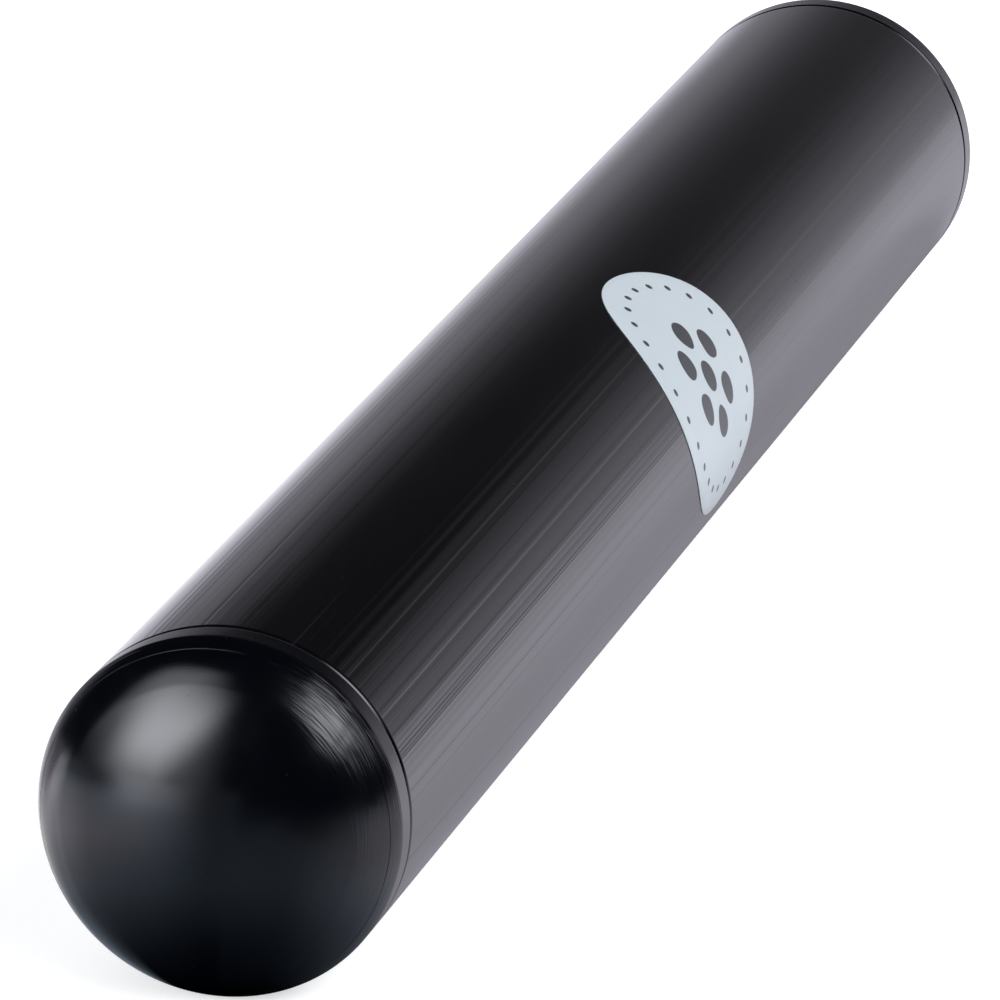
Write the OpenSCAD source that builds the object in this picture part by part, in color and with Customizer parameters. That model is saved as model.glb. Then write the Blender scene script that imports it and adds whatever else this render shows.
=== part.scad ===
// Ganza shaker: a straight metal tube closed by two domed plastic end caps,
// with a round label on the barrel and a charge of loose steel shot inside.
// The tube's axis lies along X, the near cap points to -X, and +Z is up.
// The origin is on the axis, halfway along the tube.

/* [Tube] */
// Outside diameter of the tube
tube_d = 45; // [38:0.5:60]
// Length of the tube without the caps
tube_len = 320; // [220:1:420]
// Wall of the tube
tube_wall = 1.5; // [1:0.1:2.2]
// Bevel on the outer edge of each tube end
tube_bevel = 0.45; // [0.05:0.05:0.5]
// Bevel on the inner edge of each tube end, which leads the cap in
tube_lead = 0.4; // [0.1:0.05:0.45]

/* [End caps] */
// Straight band of the cap, flush with the tube
band_len = 3.7; // [2.5:0.1:6]
// Bevel on the band's edge at the seam
band_bevel = 0.25; // [0.05:0.05:0.3]
// Height of the dome above the band
dome_h = 10; // [9:0.1:12]
// Radius of the rounded shoulder between the band and the dome's crown
shoulder_r = 9; // [8:0.1:9.5]
// Angle at which the dome leaves the band
shoulder_angle = 15; // [10:0.5:20]
// Wall of the dome and of the plug
cap_wall = 2.2; // [1.5:0.1:2.6]
// Length of the plug inside the tube
plug_len = 14; // [12:0.5:20]
// Radial gap between the plug and the tube's bore
plug_gap = 0.15; // [0.1:0.01:0.25]
// Bevel on the plug's leading edge
plug_lead = 0.8; // [0.4:0.1:1.2]
// Number of grip rings round the plug
ring_count = 3; // [2:1:4]
// Radius of the rounded back of a grip ring
ring_r = 0.6; // [0.4:0.05:0.8]
// How far a grip ring is squeezed by the bore
ring_press = 0.04; // [0.02:0.01:0.06]
// Angle round the shoulder at which the fine moulding line runs
line_angle = 30.5; // [25:0.5:40]
// Radius of the fine moulding line
line_r = 0.08; // [0.05:0.01:0.12]

/* [Label] */
// Diameter of the round label before it is wrapped on
label_d = 38; // [25:0.5:40]
// Thickness of the label
label_t = 0.1; // [0.05:0.01:0.15]
// Film of glue under the label
label_glue = 0.02; // [0.01:0.01:0.04]
// Place of the label's centre along the tube
label_x = 3; // [-60:1:60]
// Turn of the label from the top of the tube towards the front
label_turn = 64; // [0:1:90]

/* [Steel shot] */
// Diameter of one ball of shot
shot_d = 4; // [3:0.1:4.5]
// Gap between the balls of one row
shot_gap = 0.1; // [0.05:0.01:0.2]
// Gap between rows, and between the shot and the tube or caps
row_gap = 0.3; // [0.2:0.05:0.5]
// Balls in each of the short rows
row_balls = 26; // [12:1:32]

/* [Hidden] */

// Smoothness of the turned pieces and of the balls
turned_fn = 128;
shot_fn = 24;
// Corners of the label's outline
label_fn = 72;
// Overrun of every cut
over = 1;

// Tube
tube_r = tube_d / 2;
bore_r = tube_r - tube_wall;
half_len = tube_len / 2;

// End cap: radii from the axis, heights from the seam outwards
shoulder_mid_r = tube_r - shoulder_r * cos(shoulder_angle);
shoulder_mid_h = band_len - shoulder_r * sin(shoulder_angle);
dome_top = band_len + dome_h;
crown_rise = dome_top - shoulder_mid_h;
crown_r = (pow(shoulder_mid_r, 2) + pow(crown_rise, 2) - pow(shoulder_r, 2))
    / (2 * (crown_rise - shoulder_r));
crown_mid_h = dome_top - crown_r;
crown_angle = asin(shoulder_mid_r / (crown_r - shoulder_r));
plug_r = bore_r - plug_gap;
plug_bore_r = plug_r - cap_wall;
ring_mid_r = bore_r + ring_press - ring_r;
ring_pitch = plug_len / (ring_count + 1);
line_mid_r = shoulder_mid_r + shoulder_r * cos(line_angle);
line_mid_h = shoulder_mid_h + shoulder_r * sin(line_angle);

// Label
label_in_r = tube_r + label_glue;
label_out_r = label_in_r + label_t;

// Shot: the first layer lies round the bore, the second on the first
shot_r = shot_d / 2;
shot_pitch = shot_d + shot_gap;
row_pitch = shot_d + row_gap;
layer_1_r = bore_r - row_gap - shot_r;
layer_2_r = layer_1_r - row_pitch;
layer_1_turn = 2 * asin(row_pitch / 2 / layer_1_r);
layer_2_turn = 2 * asin(row_pitch / 2 / layer_2_r);
plug_face = half_len - plug_len;
bottom_balls = floor(2 * (plug_face - row_gap - shot_r) / shot_pitch) + 1;

// Turns a profile, drawn as radius and height, about the X axis.
module turned(side = 1) {
    rotate([0, side * 90, 0])
        rotate_extrude($fn = turned_fn) children();
}

// Half of a domed outline, drawn in from the cap's outside by inset.
module dome_outline(inset = 0) {
    intersection() {
        translate([0, crown_mid_h]) circle(r = crown_r - inset, $fn = turned_fn);
        polygon([
            [0, crown_mid_h],
            [crown_r * tan(crown_angle), crown_mid_h + crown_r],
            [0, crown_mid_h + crown_r]
        ]);
    }
    translate([shoulder_mid_r, shoulder_mid_h])
        circle(r = shoulder_r - inset, $fn = turned_fn);
}

// The cap's outside above the seam: the flush band and the dome.
module cap_head() {
    intersection() {
        dome_outline();
        translate([0, band_len]) square([tube_r, dome_h]);
    }
    polygon([
        [0, 0],
        [tube_r - band_bevel, 0],
        [tube_r, band_bevel],
        [tube_r, band_len],
        [0, band_len]
    ]);
}

// The plug that goes into the tube, with its grip rings.
module cap_plug() {
    polygon([
        [0, over],
        [0, -plug_len],
        [plug_r - plug_lead, -plug_len],
        [plug_r, plug_lead - plug_len],
        [plug_r, over]
    ]);
    for (i = [1 : ring_count])
        translate([ring_mid_r, -i * ring_pitch]) circle(r = ring_r, $fn = turned_fn);
}

// The hollow inside the cap, open towards the tube.
module cap_hollow() {
    intersection() {
        union() {
            dome_outline(cap_wall);
            translate([0, -plug_len - over])
                square([plug_bore_r, shoulder_mid_h + plug_len + over]);
        }
        translate([0, -plug_len - over])
            square([plug_bore_r, dome_top + plug_len + over]);
    }
}

module end_cap(side) {
    color("#0e1013")
        translate([side * half_len, 0, 0])
            turned(side)
                difference() {
                    union() {
                        cap_head();
                        cap_plug();
                    }
                    cap_hollow();
                    translate([line_mid_r, line_mid_h]) circle(r = line_r, $fn = shot_fn);
                }
}

module tube() {
    color("#1d1c20")
        turned()
            polygon([
                [bore_r + tube_lead, -half_len],
                [tube_r - tube_bevel, -half_len],
                [tube_r, tube_bevel - half_len],
                [tube_r, half_len - tube_bevel],
                [tube_r - tube_bevel, half_len],
                [bore_r + tube_lead, half_len],
                [bore_r, half_len - tube_lead],
                [bore_r, tube_lead - half_len]
            ]);
}

module near_cap() {
    end_cap(-1);
}

module far_cap() {
    end_cap(1);
}

// A round label whose outline keeps its size along the arc of the tube.
module label() {
    color("#cdd4dc")
        translate([label_x, 0, 0])
            rotate([label_turn, 0, 0])
                intersection() {
                    rotate([0, 90, 0])
                        difference() {
                            cylinder(r = label_out_r, h = label_d + over, center = true, $fn = turned_fn);
                            cylinder(r = label_in_r, h = label_d + 2 * over, center = true, $fn = turned_fn);
                        }
                    linear_extrude(label_out_r + over)
                        polygon([
                            for (i = [0 : label_fn - 1])
                                let (a = i * 360 / label_fn, arc = sin(a) * label_d / 2)
                                    [cos(a) * label_d / 2, tube_r * sin(arc / tube_r * 180 / PI)]
                        ]);
                }
}

// A row of balls along the tube, turned from the bottom of the bore towards the front.
module shot_row(balls, layer_r, turn) {
    color("silver")
        rotate([-turn, 0, 0])
            for (i = [0 : balls - 1])
                translate([(i - (balls - 1) / 2) * shot_pitch, 0, -layer_r])
                    sphere(r = shot_r, $fn = shot_fn);
}

module shot_bottom_row() {
    shot_row(bottom_balls, layer_1_r, 0);
}

module shot_side_row(place) {
    shot_row(row_balls, layer_1_r, place * layer_1_turn);
}

module shot_upper_row(place) {
    shot_row(row_balls, layer_2_r, place * layer_2_turn);
}

tube();
near_cap();
far_cap();
label();
shot_bottom_row();
shot_side_row(1);  // shot_front_row_1
shot_side_row(2);  // shot_front_row_2
shot_side_row(3);  // shot_front_row_3
shot_side_row(-1);  // shot_back_row_1
shot_side_row(-2);  // shot_back_row_2
shot_side_row(-3);  // shot_back_row_3
shot_upper_row(1);  // shot_upper_front_row
shot_upper_row(0);  // shot_upper_middle_row
shot_upper_row(-1);  // shot_upper_back_row
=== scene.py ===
"""Ganza shaker: the drawn barrel, moulded caps, label and shot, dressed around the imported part."""
import math

import bpy
from mathutils import Matrix, Vector


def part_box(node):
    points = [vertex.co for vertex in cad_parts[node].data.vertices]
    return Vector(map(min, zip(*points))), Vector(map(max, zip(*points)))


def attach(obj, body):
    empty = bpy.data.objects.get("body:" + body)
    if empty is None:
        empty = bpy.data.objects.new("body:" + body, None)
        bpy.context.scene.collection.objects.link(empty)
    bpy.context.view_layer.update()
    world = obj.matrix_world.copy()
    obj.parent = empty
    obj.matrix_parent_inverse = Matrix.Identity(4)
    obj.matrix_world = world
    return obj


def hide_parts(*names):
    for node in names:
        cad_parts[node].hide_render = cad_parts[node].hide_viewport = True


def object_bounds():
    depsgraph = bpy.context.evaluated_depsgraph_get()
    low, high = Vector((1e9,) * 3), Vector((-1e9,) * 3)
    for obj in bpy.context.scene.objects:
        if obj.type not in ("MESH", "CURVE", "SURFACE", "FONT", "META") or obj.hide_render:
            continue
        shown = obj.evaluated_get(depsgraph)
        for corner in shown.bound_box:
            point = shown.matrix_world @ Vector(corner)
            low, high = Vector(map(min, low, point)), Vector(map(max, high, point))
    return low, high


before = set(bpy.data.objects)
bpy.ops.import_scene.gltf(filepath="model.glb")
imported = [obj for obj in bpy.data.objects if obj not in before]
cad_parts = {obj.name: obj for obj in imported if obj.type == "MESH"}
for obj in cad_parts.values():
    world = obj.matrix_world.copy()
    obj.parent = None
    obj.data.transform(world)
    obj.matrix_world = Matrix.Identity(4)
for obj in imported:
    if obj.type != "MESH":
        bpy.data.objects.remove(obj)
cad_low, cad_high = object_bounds()

MM = 0.001

# Barrel: its radius and length come from the frame
_, barrel_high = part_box("tube")
BARREL_R = barrel_high.z
HALF_LEN = barrel_high.x
BARREL_WALL = 1.5 * MM
BORE_R = BARREL_R - BARREL_WALL
END_BEVEL = 0.75 * MM
END_LEAD = 0.4 * MM
# Waves in the skin: their depth, and their length round and along the barrel
WAVE_DEPTH = 0.012 * MM
WAVE_LEN = 2.6 * MM
WAVE_RUN = 150 * MM
# Points further out than this belong to the skin
SKIN_FROM = BORE_R + 1.0 * MM

# Cap, as radii from the axis and heights out from the seam
cap_low, cap_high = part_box("near_cap")
DOME_TOP = -cap_low.x - HALF_LEN
PLUG_LEN = HALF_LEN + cap_high.x
BAND_LEN = 3.7 * MM
BAND_BEVEL = 0.42 * MM
SHOULDER_R = 9 * MM
SHOULDER_ANGLE = math.radians(15)
CAP_WALL = 2.2 * MM
PLUG_GAP = 0.15 * MM
PLUG_R = BORE_R - PLUG_GAP
PLUG_LEAD = 0.8 * MM
RING_COUNT = 3
RING_R = 0.6 * MM
RING_PRESS = 0.04 * MM
LINE_ANGLE = math.radians(30.5)
LINE_R = 0.08 * MM

# Label
LABEL_D = 38 * MM
LABEL_T = 0.1 * MM
LABEL_GLUE = 0.02 * MM
LABEL_X = 3 * MM
LABEL_TURN = math.radians(64)
LABEL_ROUNDING = LABEL_T * 0.6

# Shot
SHOT_D = 4 * MM
SHOT_GAP = 0.1 * MM
ROW_GAP = 0.3 * MM
ROW_BALLS = 26
LAYER_1_R = BORE_R - ROW_GAP - SHOT_D / 2
LAYER_2_R = LAYER_1_R - SHOT_D - ROW_GAP

# Detail of the meshes
BARREL_SEGMENTS = 720
BARREL_STATIONS = 33
END_STEPS = 8
CAP_SEGMENTS = 256
CROWN_STEPS = 30
SHOULDER_STEPS = 26
LINE_STEPS = 4
FOOT_STEPS = 14
BEVEL_STEPS = 11
RING_STEPS = 6
INNER_SHOULDER_STEPS = 12
INNER_CROWN_STEPS = 16
LABEL_RINGS = 14
LABEL_SPOKES = 144
BALL_SEGMENTS = 10
BALL_RINGS = 6
WELD = 0.0005 * MM
# Flat left between a rounded edge and the next point of an outline
EDGE_FLAT = 0.05 * MM
# Angles in degrees from which an edge between two faces stays crisp
BARREL_CRISP = 25
CAP_CRISP = 9


class Wire:
    """A node's output, on which sums, products and powers can be written."""

    def __init__(self, maker, output):
        self.maker = maker
        self.output = output

    def math(self, operation, *others):
        """A math node with this wire in its first socket."""
        return self.maker.math(operation, self, *others)

    def __add__(self, other):
        return self.math("ADD", other)

    def __sub__(self, other):
        return self.math("SUBTRACT", other)

    def __rsub__(self, other):
        return self.maker.math("SUBTRACT", other, self)

    def __mul__(self, other):
        return self.math("MULTIPLY", other)

    def __truediv__(self, other):
        return self.math("DIVIDE", other)

    def __rtruediv__(self, other):
        return self.maker.math("DIVIDE", other, self)

    def __pow__(self, other):
        return self.math("POWER", other)

    def __neg__(self):
        return self.math("MULTIPLY", -1.0)

    def __abs__(self):
        return self.math("ABSOLUTE")

    __radd__ = __add__
    __rmul__ = __mul__

    def at_most(self, limit):
        return self.math("MINIMUM", limit)

    def at_least(self, limit):
        return self.math("MAXIMUM", limit)

    def rise(self, low, high):
        """Goes smoothly from 0 at low to 1 at high."""
        return self.maker.add(
            "ShaderNodeMapRange", {"interpolation_type": "SMOOTHSTEP"},
            {"Value": self, "From Min": low, "From Max": high})

    def fall(self, low, high, depth=1.0):
        """Goes smoothly from 1 at low to 1 less the depth at high."""
        return 1 - self.rise(low, high) * depth

    def hump(self, low, full, fading, high):
        """Rises smoothly from low to full, and falls back to 0 from fading to high."""
        return self.rise(low, full) * self.fall(fading, high)

    def mixed(self, other, share):
        """Goes from this to the other as share goes from 0 to 1."""
        return self + (other - self) * share


class Maker:
    """Adds nodes to one tree."""

    def __init__(self, tree):
        self.tree = tree

    def add(self, kind, settings=None, values=None, output=0):
        """Adds a node: its settings first, then the numbers or wires of its sockets."""
        node = self.tree.nodes.new(kind)
        for name, value in (settings or {}).items():
            setattr(node, name, value)
        for key, value in (values or {}).items():
            self.feed(node.inputs[key], value)
        return Wire(self, node.outputs[output])

    def feed(self, socket, value):
        if isinstance(value, Wire):
            self.tree.links.new(value.output, socket)
        else:
            socket.default_value = value

    def math(self, operation, *values):
        return self.add("ShaderNodeMath", {"operation": operation}, dict(enumerate(values)))

    def outputs(self, kind, values=None):
        """Adds a node and gives all its outputs by name."""
        first = self.add(kind, None, values)
        return {o.name: Wire(self, o) for o in first.output.node.outputs if o.enabled}

    def split(self, vector):
        """The three coordinates of a vector."""
        axes = self.outputs("ShaderNodeSeparateXYZ", {0: vector})
        return axes["X"], axes["Y"], axes["Z"]

    def vector(self, x, y, z):
        return self.add("ShaderNodeCombineXYZ", None, {0: x, 1: y, 2: z})

    def noise(self, vector, detail=2.0, rough=0.5):
        """Smooth noise round 0.5, one step to each unit of the vector."""
        return self.add(
            "ShaderNodeTexNoise", {"noise_dimensions": "3D"},
            {"Vector": vector, "Scale": 1.0, "Detail": detail, "Roughness": rough})

    def pattern(self, place, steps, detail=2.0, rough=0.5):
        """Noise at a place, given as x, y and z. Steps are its three lengths in mm."""
        scaled = [way / (step * MM) for way, step in zip(place, steps)]
        return self.noise(self.vector(*scaled), detail, rough)

    def spots(self, place, step, core, rim):
        """Round spots strewn a step in mm apart. Core and rim are their radii, in steps."""
        cells = self.add(
            "ShaderNodeTexVoronoi", {"feature": "F1"},
            {"Vector": self.vector(*place), "Scale": 1 / (step * MM), "Randomness": 1.0})
        return cells.fall(core, rim)

    def bump(self, height, unit=MM, strength=1.0):
        """The surface's normal over a height, which counts in the unit."""
        return self.add(
            "ShaderNodeBump", None, {"Strength": strength, "Distance": unit, "Height": height})

    def blend(self, share, first, second):
        """A colour that goes from first to second as share goes from 0 to 1."""
        return self.add(
            "ShaderNodeMix", {"data_type": "RGBA"}, {0: share, 6: first, 7: second}, output=2)


def in_scene(name, data):
    """A new object with its data, linked into the scene."""
    piece = bpy.data.objects.new(name, data)
    bpy.context.scene.collection.objects.link(piece)
    return piece


def node_of(tree, kind):
    """The node of a kind that a new tree already has."""
    return next(n for n in tree.nodes if n.type == kind)


def finish_of(name, build, metallic=0.0):
    """A material whose build function returns the varying sockets of its shader."""
    material = bpy.data.materials.new(name)
    material.use_nodes = True
    shader = node_of(material.node_tree, "BSDF_PRINCIPLED")
    shader.inputs["Metallic"].default_value = metallic
    maker = Maker(material.node_tree)
    place = maker.outputs("ShaderNodeTexCoord")["Object"]
    for socket, value in build(maker, *maker.split(place)).items():
        maker.feed(shader.inputs[socket], value)
    return material


# Barrel finish: drawn aluminium, dyed black
DYE = (0.0014, 0.0013, 0.0017, 1)
SCUFF = (0.030, 0.029, 0.033, 1)
# Where the flats and the fine lines fade out, along x
FLATS_FADE = (-0.14, 0.09)
LINES_FADE = (-0.165, -0.085)
# How far the marks take to start beside the rounded ends, which are smooth
SMOOTH_END = 0.15 * MM
# Depths in mm
FACET_DEPTH = 0.012
LINE_DEPTH = 0.006
HAIR_DEPTH = 0.026
PIT_DEPTH = 0.006

# Flats and grooves that the drawing die left, in degrees: where each starts and ends, from the
# top towards the front, and how far its face leans away from the true round
DIE_MARKS = [
    (-28.4, -27.4, 2.5), (-26.6, -25.7, -1.6), (-25.1, -24.3, 2.2), (-22.2, -21.2, 2.4),
    (-19.8, -18.8, 4.5), (-15.7, -14.8, 2.2), (-9.2, -7.9, 2.5), (-7.8, -7.1, -1.5),
    (-3.8, -2.4, 1.5), (3.8, 4.7, 2.3), (9.3, 11.8, 1.0), (12.2, 13.4, 2.0),
    (29.8, 30.8, 4.4), (32.6, 33.8, 4.6), (34.2, 35.7, -2.0), (36.2, 38.6, 2.2),
    (39.8, 40.4, 7.0), (41.0, 42.2, -1.5), (42.3, 42.7, -5.0), (49.3, 49.7, -5.0),
    (51.8, 53.7, 1.2), (53.9, 55.3, -2.4), (55.8, 56.2, 5.0), (56.2, 56.7, 12.0),
    (56.8, 61.0, -1.9), (61.0, 62.2, -2.8), (62.2, 63.2, -7.0), (63.8, 64.2, 3.0),
    (64.2, 64.8, 5.4), (64.8, 66.8, 2.6), (69.2, 69.8, -4.0), (70.3, 70.7, -9.0),
    (70.8, 71.2, 5.0), (72.7, 73.2, 3.5), (74.6, 75.8, 3.0), (76.3, 77.2, -1.5),
    (77.4, 79.8, 3.5), (80.8, 81.2, -13.0), (84.3, 85.1, -8.0), (86.3, 87.0, -7.0),
    (95.7, 96.3, -12.0), (102.4, 103.7, -8.0),
]
# The wide flat on the underside that brings the marks back to the true round
LAST_FLAT = (115, 165)


def die_flats(round_it):
    """Depth of the flats in mm, at a length in mm round the barrel from its top."""
    degree = math.radians(BARREL_R / MM)
    first, last = LAST_FLAT
    total = sum((end - start) * lean for start, end, lean in DIE_MARKS)
    depth = 0.0
    for start, end, lean in DIE_MARKS + [(first, last, -total / (last - first))]:
        run = (round_it - start * degree).at_least(0.0).at_most((end - start) * degree)
        depth = run * math.radians(lean) + depth
    return depth


def barrel_finish(maker, x, y, z):
    """Flats and lines drawn along the barrel, sharpest near the near cap, with a few small pits."""
    place = (x, y, z)
    flats = die_flats((-y).math("ARCTAN2", z) * (BARREL_R / MM))
    nearness = x.fall(*FLATS_FADE, 0.8)
    at_end = x.fall(*LINES_FADE) ** 1.5
    patches = maker.pattern(place, (30, 5, 5))
    lines = maker.pattern(place, (1500, 1.6, 1.6), 1.0)
    line = abs(lines - 0.5).fall(0.0, 0.045)
    hair = maker.pattern(place, (700, 0.36, 0.36), 1.0)
    facets = maker.pattern(place, (1200, 2.2, 2.2), 1.0)
    pits = maker.spots((x * 0.5, y, z), 2.6, 0.03, 0.06) * patches.rise(0.45, 0.6) * nearness
    hair_depth = at_end * (0.4 + patches.rise(0.3, 0.7)) * HAIR_DEPTH
    height = facets * FACET_DEPTH - flats * nearness - line * at_end * LINE_DEPTH
    height = height - hair * hair_depth - pits * PIT_DEPTH
    skin = (HALF_LEN - abs(x)).rise(END_BEVEL, END_BEVEL + SMOOTH_END)
    scuffs = line * at_end * patches.rise(0.45, 0.7) * 0.25
    rough = 0.12 + (1 - nearness) * 0.08 + (patches - 0.5) * 0.05 + pits * 0.2
    return {
        "Base Color": maker.blend(scuffs, DYE, SCUFF),
        "Roughness": rough.at_least(0.06),
        "Normal": maker.bump(height, MM, skin),
    }


# Cap finish: black moulded plastic with a polished crown and a rubbed shoulder
CAP_BLACK = (0.0003, 0.0007, 0.0017, 1)
CAP_DUST = (0.020, 0.022, 0.026, 1)
CAP_RUBBED = (0.030, 0.033, 0.038, 1)
RIDGE_OUT = 5.85 * MM
GROOVE_OUT = 4.3 * MM
# Turns a step out and in over the shoulder into its length across the slope
SLOPE_SHARE = 0.77
# Depths and heights in mm
SCRATCH_DEPTH = 0.10
BROAD_DEPTH = 0.02
SPECK_DEPTH = 0.004
GROOVE_DEPTH = 0.02
RIDGE_HEIGHT = 0.006
BLOTCH_HEIGHT = 0.016
# How far the band leans in, in mm to each mm out
BAND_LEAN = 0.012


def cap_finish(maker, x, y, z):
    """Scratches round the shoulder, a pale moulding line and specks on the polished crown."""
    place = (x, y, z)
    out = abs(x) - HALF_LEN
    radius = (y * y + z * z) ** 0.5
    across_slope = ((out - radius) * SLOPE_SHARE, y, z)
    to_front = -y / BARREL_R
    front = to_front.rise(0.05, 0.5)
    left = (y / BARREL_R).rise(0.75, 0.95)
    lit = to_front.rise(0.32, 0.6) * (z / BARREL_R).rise(0.25, 0.5)
    band = out.fall(3.2 * MM, 3.7 * MM)
    shoulder = out.fall(front * MM + 6.8 * MM, front * MM + 9.2 * MM)
    shoulder = shoulder * out.rise(3.7 * MM, 4.1 * MM)

    scratches = maker.pattern(across_slope, (0.26, 5, 5), 1.0, 0.6)
    thin = maker.pattern(across_slope, (0.17, 7, 7), 1.0, 0.6).rise(0.46, 0.66) * lit * shoulder
    broad = maker.pattern(across_slope, (0.7, 11, 8), 1.0)
    patches = maker.pattern(place, (9, 6, 6))
    haze = maker.pattern(place, (5, 5, 5), 3.0)
    blotches = maker.pattern(place, (1.5, 1.1, 1.1), 3.0, 0.6)
    specks = maker.spots(place, 2.4, 0.02, 0.05)
    ridge = abs(out - RIDGE_OUT).fall(0.02 * MM, 0.11 * MM)
    groove = abs(out - GROOVE_OUT).fall(0.02 * MM, 0.16 * MM)
    worn = front * 0.3 + lit * 0.55 + left * 0.5 + 0.15
    rubbed = shoulder * worn * (0.45 + patches.rise(0.35, 0.6) * 0.75)

    height = scratches * rubbed * SCRATCH_DEPTH + broad * rubbed * BROAD_DEPTH
    height = height - specks * SPECK_DEPTH - groove * patches.rise(0.4, 0.6) * GROOVE_DEPTH
    height = height + ridge * patches * RIDGE_HEIGHT + blotches * band * BLOTCH_HEIGHT
    height = height - (out / MM).at_most(BAND_LEN / MM) * BAND_LEAN
    rough = 0.11 + haze * 0.06 + shoulder * scratches * 0.08 + specks * 0.2 + band * 0.05
    dusty = maker.blend(specks * 0.6 + (haze - 0.5) * 0.1, CAP_BLACK, CAP_DUST)
    return {
        "Base Color": maker.blend(ridge * patches.rise(0.4, 0.65) * 0.4, dusty, CAP_RUBBED),
        "Roughness": rough + thin * 0.3,
        "Normal": maker.bump(height),
    }


# Label finish: pale satin film with plain printed dots
FILM = (0.595, 0.655, 0.675, 1)
FILM_SHADE = (0.54, 0.60, 0.625, 1)
DOT_INK = (0.022, 0.022, 0.024, 1)
# Rings of dots: their number, the ring's radius and the dot's radius, in mm
DOT_RINGS = [(24, 15.4, 0.55), (6, 6.4, 2.2), (1, 0.0, 2.2)]
# How far the edge of a dot runs out each way, in mm
INK_BLEED = 0.06


def dots(along, round_it):
    """The print: 1 on a dot and 0 between the dots."""
    spot = (along * along + round_it * round_it) ** 0.5
    turn = round_it.math("ARCTAN2", along) / (2 * math.pi)
    ink = 0.0
    for number, ring, size in DOT_RINGS:
        place = (turn * number + number).math("FRACT") - 0.5
        side = place * (2 * math.pi * ring * MM / number)
        away = ((spot - ring * MM) ** 2 + side * side) ** 0.5
        ink = away.fall((size - INK_BLEED) * MM, (size + INK_BLEED) * MM).at_least(ink)
    return ink


def label_finish(maker, x, y, z):
    """Satin film with a faint cast pattern and the drawn lines of the barrel showing through."""
    place = (x, y, z)
    round_it = (-y).math("ARCTAN2", z) * BARREL_R - LABEL_TURN * BARREL_R
    cloud = maker.pattern(place, (9, 9, 9))
    grain = maker.pattern(place, (0.25, 0.25, 0.25))
    lines = maker.pattern(place, (80, 1.2, 1.2))
    ink = dots(x - LABEL_X, round_it) * (0.94 + (grain - 0.5) * 0.12)
    film = maker.blend(cloud * 0.8 + (grain - 0.5) * 0.2, FILM, FILM_SHADE)
    return {
        "Base Color": maker.blend(ink, film, DOT_INK),
        "Roughness": 0.34 + cloud * 0.12,
        "Normal": maker.bump(grain * 0.3 + lines * 1.5, 0.003 * MM),
    }


# Shot finish: bright steel
STEEL = (0.56, 0.57, 0.58, 1)
STEEL_DULL = (0.40, 0.40, 0.41, 1)


def shot_finish(maker, x, y, z):
    """Bright steel, dulled in small patches where the balls have knocked together."""
    knocks = maker.pattern((x, y, z), (0.7, 0.7, 0.7), 3.0)
    dull = knocks.rise(0.5, 0.7)
    return {
        "Base Color": maker.blend(dull, STEEL, STEEL_DULL),
        "Roughness": 0.16 + dull * 0.22,
        "Normal": maker.bump(knocks, 0.004 * MM),
    }


barrel_metal = finish_of("barrel_metal", barrel_finish)
cap_plastic = finish_of("cap_plastic", cap_finish)
label_film = finish_of("label_film", label_finish)
shot_steel = finish_of("shot_steel", shot_finish, metallic=1.0)


class Grower(Maker):
    """A geometry tree with named inputs, which is run on a base mesh."""

    def __init__(self, name):
        super().__init__(bpy.data.node_groups.new(name, "GeometryNodeTree"))
        for way in ("INPUT", "OUTPUT"):
            self.tree.interface.new_socket(
                "Geometry", in_out=way, socket_type="NodeSocketGeometry")
        self.entry = self.tree.nodes.new("NodeGroupInput")
        self.exit = self.tree.nodes.new("NodeGroupOutput")
        self.sockets = {}

    def input(self, name, kind="Float"):
        self.sockets[name] = self.tree.interface.new_socket(
            name, in_out="INPUT", socket_type="NodeSocket" + kind)
        return Wire(self, self.entry.outputs[name])

    def base(self):
        return Wire(self, self.entry.outputs["Geometry"])

    def end(self, geometry):
        """Closes the tree: instances made real, faces smooth, the finish set."""
        real = self.add("GeometryNodeRealizeInstances", None, {0: geometry})
        smooth = self.add("GeometryNodeSetShadeSmooth", None, {"Geometry": real})
        painted = self.add(
            "GeometryNodeSetMaterial", None,
            {"Geometry": smooth, "Material": self.input("Finish", "Material")})
        self.tree.links.new(painted.output, self.exit.inputs[0])

    def run(self, name, base, **values):
        """Runs the tree on a base mesh and gives the result as a plain object."""
        holder = in_scene(name + "_base", base)
        modifier = holder.modifiers.new("grow", "NODES")
        modifier.node_group = self.tree
        for key, value in values.items():
            modifier[self.sockets[key].identifier] = value
        graph = bpy.context.evaluated_depsgraph_get()
        mesh = bpy.data.meshes.new_from_object(holder.evaluated_get(graph))
        bpy.data.objects.remove(holder)
        mesh.name = name
        return in_scene(name, mesh)


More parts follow.
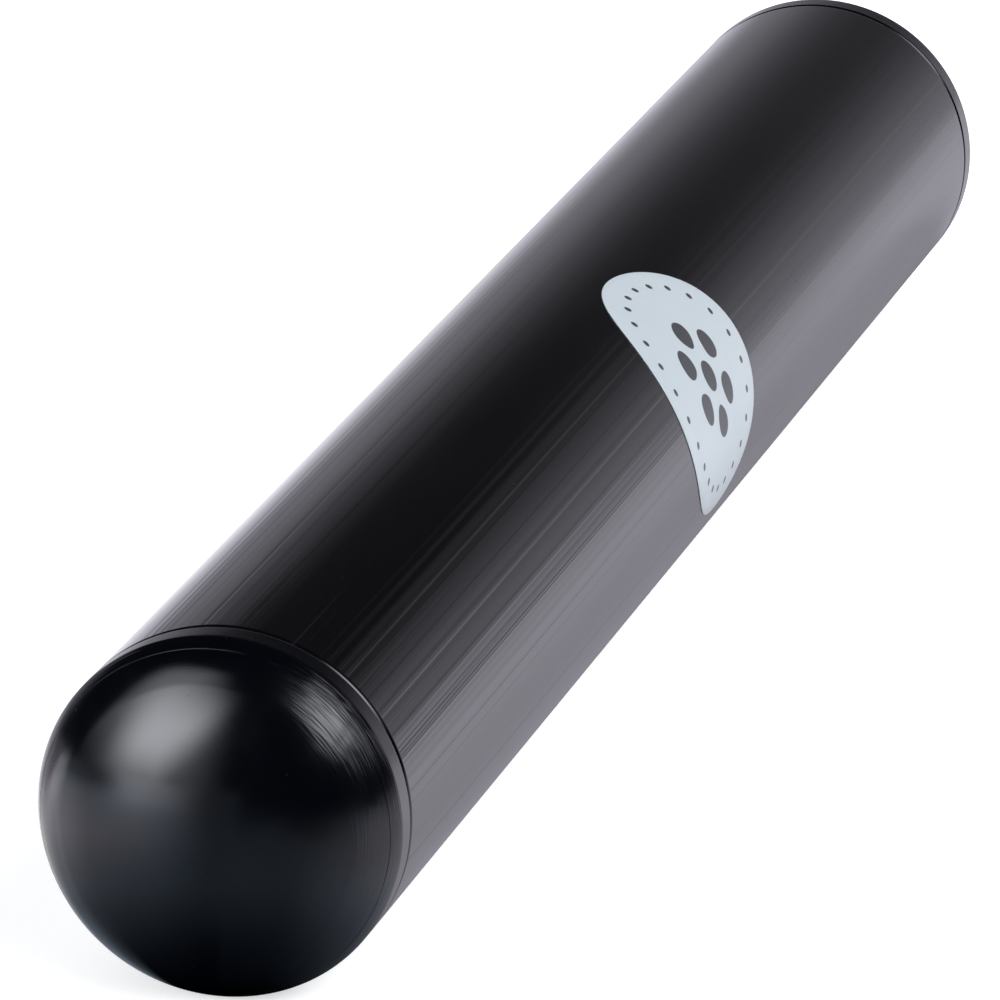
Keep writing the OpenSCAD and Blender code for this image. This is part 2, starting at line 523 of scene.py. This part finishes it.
def turned_tree():
    """Turns a profile, given as points at (along the axis, radius), round the X axis."""
    tree = Grower("turned_piece")
    segments = tree.input("Segments", "Int")
    waves = tree.input("Wave Depth")
    profile = tree.base()
    points = tree.add("GeometryNodeAttributeDomainSize", {"component": "MESH"}, {0: profile})
    grid = tree.add(
        "GeometryNodeMeshGrid", None,
        {"Size X": points - 1, "Size Y": segments,
         "Vertices X": points, "Vertices Y": segments + 1})
    position = tree.add("GeometryNodeInputPosition")
    row_place, turn_place, _ = tree.split(position)
    row = row_place + (points - 1) * 0.5 + 0.5
    turn = turn_place / segments * (2 * math.pi)
    spot = tree.add(
        "GeometryNodeSampleIndex", {"data_type": "FLOAT_VECTOR", "domain": "POINT"},
        {"Geometry": profile, "Value": position, "Index": row})
    along, radius, _ = tree.split(spot)
    to_front = turn.math("SINE")
    to_top = turn.math("COSINE")
    waves_round = BARREL_R / WAVE_LEN
    wave_place = tree.vector(along / WAVE_RUN, to_front * waves_round, to_top * waves_round)
    on_skin = radius.math("GREATER_THAN", SKIN_FROM)
    waved = radius - tree.noise(wave_place) * waves * on_skin
    placed = tree.add(
        "GeometryNodeSetPosition", None,
        {"Geometry": grid, "Position": tree.vector(along, -(to_front * waved), to_top * waved)})
    tree.end(tree.add(
        "GeometryNodeMergeByDistance", None, {"Geometry": placed, "Distance": WELD}))
    return tree


def shot_tree():
    """A row of balls along the bore, turned from the bottom towards the front."""
    tree = Grower("row_of_balls")
    balls = tree.input("Balls", "Int")
    pitch = tree.input("Pitch")
    size = tree.input("Ball Radius")
    layer = tree.input("Layer Radius")
    turn = tree.input("Turn")
    half_row = (balls - 1) * pitch * 0.5
    start = tree.vector(-half_row, -(turn.math("SINE") * layer), -(turn.math("COSINE") * layer))
    line = tree.add(
        "GeometryNodeMeshLine", {"mode": "OFFSET"},
        {"Count": balls, "Start Location": start, "Offset": tree.vector(pitch, 0.0, 0.0)})
    ball = tree.add(
        "GeometryNodeMeshUVSphere", None,
        {"Segments": BALL_SEGMENTS, "Rings": BALL_RINGS, "Radius": size})
    tree.end(tree.add("GeometryNodeInstanceOnPoints", None, {"Points": line, "Instance": ball}))
    return tree


TURNED = turned_tree()
SHOT = shot_tree()


def profile_mesh(name, points):
    """The points of a profile as a mesh, at (along the axis, radius)."""
    mesh = bpy.data.meshes.new(name + "_profile")
    mesh.from_pydata([(x, r, 0) for x, r in points], [], [])
    return mesh


def arc(mid_along, mid_radius, size, start, end, steps):
    """Points on an arc. The angle is 0 straight out from the axis and grows away from the seam."""
    turns = [start + (end - start) * i / steps for i in range(steps + 1)]
    return [(mid_along + size * math.sin(t), mid_radius + size * math.cos(t)) for t in turns]


def crown_shape(inset=0.0):
    """The shoulder's middle and radius, the crown's radius and middle, and where they meet."""
    mid_r = BARREL_R - SHOULDER_R * math.cos(SHOULDER_ANGLE)
    mid_h = BAND_LEN - SHOULDER_R * math.sin(SHOULDER_ANGLE)
    rise = DOME_TOP - mid_h
    crown = (mid_r ** 2 + rise ** 2 - SHOULDER_R ** 2) / (2 * (rise - SHOULDER_R))
    meet = math.pi / 2 - math.asin(mid_r / (crown - SHOULDER_R))
    return mid_r, mid_h, SHOULDER_R - inset, crown - inset, DOME_TOP - crown, meet


def cap_profile():
    """The cap's outline from the tip of the dome, over the plug, to the inside of the dome."""
    mid_r, mid_h, shoulder, crown, crown_mid, meet = crown_shape()
    line_h = mid_h + shoulder * math.sin(LINE_ANGLE)
    line_r = mid_r + shoulder * math.cos(LINE_ANGLE)
    line_from = LINE_ANGLE + math.pi / 2
    line_to = LINE_ANGLE + 3 * math.pi / 2
    half_line = LINE_R / shoulder
    outline = arc(crown_mid, 0, crown, math.pi / 2, meet, CROWN_STEPS)
    outline += arc(mid_h, mid_r, shoulder, meet, LINE_ANGLE + half_line, SHOULDER_STEPS)[1:]
    outline += arc(line_h, line_r, LINE_R, line_from, line_to, LINE_STEPS)[1:-1]
    outline += arc(mid_h, mid_r, shoulder, LINE_ANGLE - half_line, SHOULDER_ANGLE, FOOT_STEPS)
    outline += [(BAND_BEVEL + EDGE_FLAT, BARREL_R)]
    bevel_mid = BARREL_R - BAND_BEVEL
    outline += arc(BAND_BEVEL, bevel_mid, BAND_BEVEL, 0, -math.pi / 2, BEVEL_STEPS)
    outline += [(0, PLUG_R)]

    ring_mid = BORE_R + RING_PRESS - RING_R
    reach = math.acos((PLUG_R - ring_mid) / RING_R)
    for i in range(1, RING_COUNT + 1):
        ring_h = -i * PLUG_LEN / (RING_COUNT + 1)
        outline += arc(ring_h, ring_mid, RING_R, reach, -reach, RING_STEPS)
    outline += [(PLUG_LEAD - PLUG_LEN, PLUG_R), (-PLUG_LEN, PLUG_R - PLUG_LEAD)]

    mid_r, mid_h, shoulder, crown, crown_mid, meet = crown_shape(CAP_WALL)
    plug_bore = PLUG_R - CAP_WALL
    start = math.acos((plug_bore - mid_r) / shoulder)
    outline += [(-PLUG_LEN, plug_bore)]
    outline += arc(mid_h, mid_r, shoulder, start, meet, INNER_SHOULDER_STEPS)
    outline += arc(crown_mid, 0, crown, meet, math.pi / 2, INNER_CROWN_STEPS)[1:]
    return outline


def barrel_profile():
    """The barrel's wall as a closed outline: the skin, the near end, the bore and the far end."""
    reach = HALF_LEN - END_BEVEL - EDGE_FLAT
    last = BARREL_STATIONS - 1
    skin = [(reach - 2 * reach * i / last, BARREL_R) for i in range(BARREL_STATIONS)]
    bevel_mid = BARREL_R - END_BEVEL
    near_end = arc(END_BEVEL - HALF_LEN, bevel_mid, END_BEVEL, 0, -math.pi / 2, END_STEPS)
    near_end += [(-HALF_LEN, BORE_R + END_LEAD), (END_LEAD - HALF_LEN, BORE_R)]
    far_end = [(-x, r) for x, r in reversed(near_end)]
    return skin + near_end + far_end + skin[:1]


def barrel():
    """The tube, with faint waves in its skin. Its bore and its ends stay true."""
    piece = TURNED.run(
        "barrel", profile_mesh("barrel", barrel_profile()),
        **{"Segments": BARREL_SEGMENTS, "Wave Depth": WAVE_DEPTH, "Finish": barrel_metal})
    piece.data.set_sharp_from_angle(angle=math.radians(BARREL_CRISP))
    return piece


def cap(name, side):
    """An end cap without waves, at the near end (side -1) or the far end (side 1)."""
    points = [(side * (HALF_LEN + h), r) for h, r in cap_profile()]
    if side < 0:
        points.reverse()
    piece = TURNED.run(
        name, profile_mesh(name, points),
        **{"Segments": CAP_SEGMENTS, "Wave Depth": 0.0, "Finish": cap_plastic})
    piece.data.set_sharp_from_angle(angle=math.radians(CAP_CRISP))
    return piece


def label_outline():
    """Rings of the film, over its rounded edge and back, as (out from the middle, level)."""
    low = BARREL_R + LABEL_GLUE
    high = low + LABEL_T
    half = LABEL_D / 2
    inner = [half * i / LABEL_RINGS for i in range(1, LABEL_RINGS)]
    corner = 0.3 * LABEL_ROUNDING
    rings = [(out, high) for out in inner]
    rings += [(half - LABEL_ROUNDING, high), (half - corner, high - corner)]
    rings += [(half, high - LABEL_ROUNDING), (half, low)]
    rings += [(out, low) for out in reversed(inner)]
    return rings


def wrapped(out, spoke, level):
    """A point of the label, laid on the barrel so that its size stays along the arc."""
    angle = spoke * 2 * math.pi / LABEL_SPOKES
    turn = LABEL_TURN + out * math.sin(angle) / BARREL_R
    return (LABEL_X + out * math.cos(angle), -level * math.sin(turn), level * math.cos(turn))


def label():
    """A round film wrapped on the barrel, with a soft rounded edge."""
    rings = label_outline()
    points = [wrapped(0, 0, rings[0][1])]
    for out, level in rings:
        points += [wrapped(out, spoke, level) for spoke in range(LABEL_SPOKES)]
    points.append(wrapped(0, 0, rings[-1][1]))
    faces = []
    last = len(points) - 1
    final = 1 + (len(rings) - 1) * LABEL_SPOKES
    for spoke in range(LABEL_SPOKES):
        after = (spoke + 1) % LABEL_SPOKES
        faces.append((0, 1 + spoke, 1 + after))
        faces.append((last, final + after, final + spoke))
        for i in range(len(rings) - 1):
            here = 1 + i * LABEL_SPOKES
            there = here + LABEL_SPOKES
            faces.append((here + spoke, there + spoke, there + after, here + after))
    mesh = bpy.data.meshes.new("label_film")
    mesh.from_pydata(points, [], faces)
    mesh.materials.append(label_film)
    mesh.shade_smooth()
    return in_scene("label_film", mesh)


def shot_row(name, balls, layer, place):
    """One row of shot. Place counts the rows from the bottom towards the front."""
    turn = place * 2 * math.asin((SHOT_D + ROW_GAP) / 2 / layer)
    return SHOT.run(
        name, bpy.data.meshes.new(name),
        **{"Balls": balls, "Pitch": SHOT_D + SHOT_GAP, "Ball Radius": SHOT_D / 2,
           "Layer Radius": layer, "Turn": turn, "Finish": shot_steel})


def dress(piece, body, node):
    """Rides a piece on its body, in place of the node that it stands for."""
    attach(piece, body)
    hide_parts(node)


dress(barrel(), "shaker", "tube")
dress(cap("cap_near", -1), "shaker", "near_cap")
dress(cap("cap_far", 1), "shaker", "far_cap")
dress(label(), "shaker", "label")

plug_face = HALF_LEN - PLUG_LEN
bottom_balls = math.floor(2 * (plug_face - ROW_GAP - SHOT_D / 2) / (SHOT_D + SHOT_GAP)) + 1
dress(
    shot_row("shot_bottom", bottom_balls, LAYER_1_R, 0),
    "shot_bed", "shot_bottom_row")
for i in (1, 2, 3):
    for side, sign in (("front", 1), ("back", -1)):
        dress(
            shot_row(f"shot_{side}_{i}", ROW_BALLS, LAYER_1_R, sign * i),
            f"shot_{side}_{i}", f"shot_{side}_row_{i}")
for side, sign in (("front", 1), ("middle", 0), ("back", -1)):
    dress(
        shot_row(f"shot_upper_{side}", ROW_BALLS, LAYER_2_R, sign),
        f"shot_upper_{side}", f"shot_upper_{side}_row")


# Studio table: white to the camera, a plain pale floor to the light, and a glowing pattern of its
# own to the gloss, darkened close to the object as a painted shadow. All places on it are in metres
TABLE_REACH = 30.0
TABLE_PALE = (0.8, 0.8, 0.8, 1)
TABLE_WHITE = 0.62
WHITE = (1, 1, 1, 1)
AHEAD_TINT = (0.80, 1.0, 1.24, 1)
FAR_TINT = (0.93, 1.0, 1.10, 1)
BESIDE_TINT = (1.0, 0.98, 1.11, 1)
# Where the glow of the near cap starts to spread from, and where the barrel's own takes over
FAN_X = -0.158
BARREL_FROM = (-0.165, -0.115)
# Brightness of the parts of the glow
FAN_AHEAD = 0.30
FAN_BESIDE = 0.78
BARREL_FRONT = 0.98
BACK_BROAD = 0.95
BACK_PANEL = 1.4
BACK_GLEAM = 1.95
BACK_DIM = 0.28
BARREL_BACK = 1.4


def glow_in_front(x, away, side):
    """Before the axis: a fan from the near cap that brightens sideways, and the barrel's glow."""
    sideways = -side
    # The fan fades to dark close to the object: a painted shadow of it on the table
    fan = (FAN_AHEAD + sideways.rise(0.4, 1.0) * FAN_BESIDE) * away.rise(0.008, 0.046)
    hollow = sideways.hump(0.2, 0.4, 0.5, 0.7) * away.rise(0.07, 0.13)
    fan = fan * (-x).fall(0.195, 0.385, 0.78) * (1 - hollow * 0.5) * away.fall(0.13, 0.6, 0.4)
    # The barrel's glow is darkest close under the barrel: a painted shadow of the barrel on the
    # table
    by_barrel = (0.14 + away * 15).at_most(BARREL_FRONT)
    return fan.mixed(by_barrel, x.rise(*BARREL_FROM)) * away.fall(0.1, 0.45, 0.56)


def glow_behind(x, y, away, side):
    """Behind the axis: a panel beside the near cap, a gleam and a dark wedge, and the barrel's."""
    past = (x - FAN_X) / y.at_least(1e-5)
    strip = away.rise(0.055, 0.16) * 1.1 - away.rise(0.2, 0.4) * 0.85 - 0.6
    strip = strip * side.rise(0.96, 0.988)
    panel = (side.rise(0.82, 1.0) * BACK_PANEL + strip) * past.fall(0.1, 0.8, 0.85)
    broad = side.rise(0.1, 0.65) * BACK_BROAD + panel - past.rise(0.4, 1.4) * 0.45
    # Painted shadow of the object on the table: the glow behind it is darkened close to it
    contact_shadow = away.rise(0.008, 0.1 - side.rise(0.6, 0.9) * 0.015)
    contact_shadow = contact_shadow.at_least(side.rise(0.7, 0.85) * 0.2)
    gleam = side.hump(0.2, 0.64, 0.6, 0.85) * away.rise(0.07, 0.3)
    gleam = gleam * (BACK_GLEAM + away.rise(0.4, 1.2) * 0.75)
    dim = BACK_DIM * away.rise(0.012, 0.042) * (-x).fall(0.2, 0.4, 0.3)
    back = broad.at_least(0.0) * contact_shadow + gleam + dim
    wedge_end = away.rise(0.2, 0.6) * 0.055
    wedge = side.hump(0.66, 0.80, wedge_end + 0.88, wedge_end * 0.2 + 0.98)
    back = back * (1 - wedge * away.rise(0.12, 0.42) * 0.75)
    by_barrel = (0.5 + 0.0525 / away.at_least(0.03)).at_most(BARREL_BACK)
    by_barrel = by_barrel * (1.1 - x.rise(-0.03, 0.03) * 0.1)
    return back.mixed(by_barrel, x.rise(*BARREL_FROM))


def table_glow(x, y):
    """How bright the table looks in the gloss: dim ahead of the object, brighter beside it, and
    darkened close to it as a painted shadow.
    """
    ahead = (x - FAN_X).at_most(0.0)
    away = (ahead * ahead + y * y + 1e-8) ** 0.5
    side = y / away
    turnover = x.rise(0.165, 0.25) * 0.12 + 0.0001
    front = glow_in_front(x, away, side)
    return front.mixed(glow_behind(x, y, away, side), y.rise(-turnover, turnover))


def table_tint(maker, x, y):
    """The glow's colour: bluish ahead of the near cap, paler far ahead, lilac beside the object."""
    past_end = x.rise(-0.17, -0.14)
    beside = abs(y).rise(0.008, 0.06) * (x.rise(-0.27, -0.19) * 0.45 + 0.55)
    ahead = maker.blend((-x).rise(0.25, 0.65), AHEAD_TINT, FAR_TINT)
    near_back = y.hump(0.0, 0.03, 0.055, 0.1) * past_end
    at_side = maker.blend(near_back, BESIDE_TINT, WHITE)
    return maker.blend(beside.at_least(past_end), ahead, at_side)


def table():
    """A pale floor, which keeps the object's shadow."""
    mesh = bpy.data.meshes.new("table")
    corners = [(-1, -1), (1, -1), (1, 1), (-1, 1)]
    points = [(x * TABLE_REACH, y * TABLE_REACH, cad_low.z) for x, y in corners]
    mesh.from_pydata(points, [], [(0, 1, 2, 3)])
    material = bpy.data.materials.new("table")
    material.use_nodes = True
    material.cycles.emission_sampling = "NONE"
    maker = Maker(material.node_tree)
    maker.tree.nodes.remove(node_of(maker.tree, "BSDF_PRINCIPLED"))
    x, y, _ = maker.split(maker.outputs("ShaderNodeTexCoord")["Object"])
    glow = maker.add(
        "ShaderNodeEmission", None,
        {"Color": table_tint(maker, x, y), "Strength": table_glow(x, y)})
    white = maker.add("ShaderNodeEmission", None, {"Color": WHITE, "Strength": TABLE_WHITE})
    pale = maker.add("ShaderNodeBsdfDiffuse", None, {"Color": TABLE_PALE})
    seen = maker.add("ShaderNodeAddShader", None, {0: white, 1: pale})
    rays = maker.outputs("ShaderNodeLightPath")
    lit = maker.add("ShaderNodeMixShader", None, {0: rays["Is Camera Ray"], 1: pale, 2: seen})
    shown = maker.add("ShaderNodeMixShader", None, {0: rays["Is Glossy Ray"], 1: lit, 2: glow})
    maker.feed(node_of(maker.tree, "OUTPUT_MATERIAL").inputs["Surface"], shown)
    mesh.materials.append(material)
    in_scene("table", mesh)


# Studio sky: white to the camera and a dim room with a few lights in it to the gloss
SPOT_TINT = (0.97, 1.0, 1.06, 1)
ROOM_TINT = (1.0, 0.985, 1.11, 1)
ROOM_DIM = 0.02
LEFT_POWER = 0.95
BOX_POWER = 7.5
SPOT_AZIMUTH = 149
SPOT_POWER = 6.6
SPILL_POWER = 2.6


def towards(azimuth, elevation):
    """The direction at an azimuth from +X towards +Y, and an elevation, in degrees."""
    a, e = math.radians(azimuth), math.radians(elevation)
    return Vector((math.cos(a) * math.cos(e), math.sin(a) * math.cos(e), math.sin(e)))


def horizon_glow(x, y, z):
    """A low glow far beyond the object, higher but weaker towards the back."""
    back = y.rise(-0.2, 0.2)
    glow = (0.3355 + back * 0.0255 - z).at_least(0.0) * (1.85 - back * 0.25)
    return glow.at_most(0.62 - back * 0.26) * x.rise(0.55 - back * 0.35, 0.85 - back * 0.05)


def window_box(x, y, z):
    """A soft box on the front side, which makes the right-hand highlight of the near cap."""
    ahead = (-y).at_least(0.001)
    across, up = x / ahead, z / ahead
    return across.hump(-2.3, -0.3, -0.3, 0.55) * up.hump(0.36, 0.80, 0.9, 2.0) * BOX_POWER


def soft_spot(x, y, z):
    """A slanting spot, which makes the cap's left-hand highlight, and the light spilt round it."""
    facing = towards(SPOT_AZIMUTH, 0)
    ahead = (x * facing.x + y * facing.y).at_least(0.001)
    across = (y * facing.x - x * facing.y) / ahead
    up = z / ahead
    low_edge = (up - across.at_least(0.0)).rise(-0.10, 0.24)
    slant = abs(across - 0.02 - (up - 0.2) * 0.3)
    spot = slant.fall(0.12, 0.42) * low_edge * up.fall(0.27, 0.85) * SPOT_POWER
    widening = (up - 0.6).at_least(0.0) * 0.3
    spill = across.fall(0.0, 0.5) * (-across - widening).fall(0.08, 0.7)
    return spot + spill * up.hump(-0.5, 0.6, 0.78, 2.1) * SPILL_POWER


def studio_sky():
    """A dim room over a lit table: a glow at the horizon, a window-like box and a soft spot."""
    world = bpy.data.worlds.new("studio")
    bpy.context.scene.world = world
    world.use_nodes = True
    maker = Maker(world.node_tree)
    x, y, z = maker.split(maker.outputs("ShaderNodeTexCoord")["Generated"])
    left = y.rise(0.93, 1.0) * abs(z).fall(0.0, 0.07) * LEFT_POWER
    light = ROOM_DIM + horizon_glow(x, y, z) + left + window_box(x, y, z) + soft_spot(x, y, z)
    by_camera = maker.outputs("ShaderNodeLightPath")["Is Camera Ray"]
    tint = maker.blend(x.rise(-0.5, 0.5), SPOT_TINT, ROOM_TINT)
    ground = node_of(maker.tree, "BACKGROUND")
    maker.feed(ground.inputs["Color"], maker.blend(by_camera, tint, WHITE))
    maker.feed(ground.inputs["Strength"], light.mixed(1, by_camera))


# Lamps and camera
LAMP_DISTANCE = 1.6
LAMP_SIZE = 0.9
CAMERA_PLACE = (-1.2177, -0.3052, 0.3658)
CAMERA_RIGHT = (0.24895, -0.96852, 0.0)
CAMERA_FORWARD = (0.92823, 0.23858, -0.28542)
LENS = 351.3
SENSOR = 36


def lamp(name, azimuth, elevation, power):
    """A soft box turned to the middle of the object. It lights but doesn't show in the gloss."""
    data = bpy.data.lights.new(name, "AREA")
    data.shape = "DISK"
    data.size = LAMP_SIZE
    data.energy = power
    piece = in_scene(name, data)
    piece.location = towards(azimuth, elevation) * LAMP_DISTANCE
    piece.rotation_mode = "QUATERNION"
    piece.rotation_quaternion = piece.location.to_track_quat("Z", "Y")
    piece.visible_glossy = False
    piece.visible_camera = False


def camera():
    """Stands where the photo was taken from: near the axis, a little above and to the front."""
    right = Vector(CAMERA_RIGHT).normalized()
    forward = Vector(CAMERA_FORWARD).normalized()
    up = right.cross(forward)
    data = bpy.data.cameras.new("camera")
    data.sensor_width = SENSOR
    data.lens = LENS
    data.clip_start = 0.05
    data.clip_end = 200
    piece = in_scene("camera", data)
    turn = Matrix((right, up, -forward)).transposed().to_4x4()
    piece.matrix_world = Matrix.Translation(Vector(CAMERA_PLACE)) @ turn
    bpy.context.scene.camera = piece


table()
studio_sky()
lamp("front_light", -70, 50, power=5)
lamp("end_light", 15, 35, power=8)
camera()
bpy.context.scene.view_settings.view_transform = "Standard"
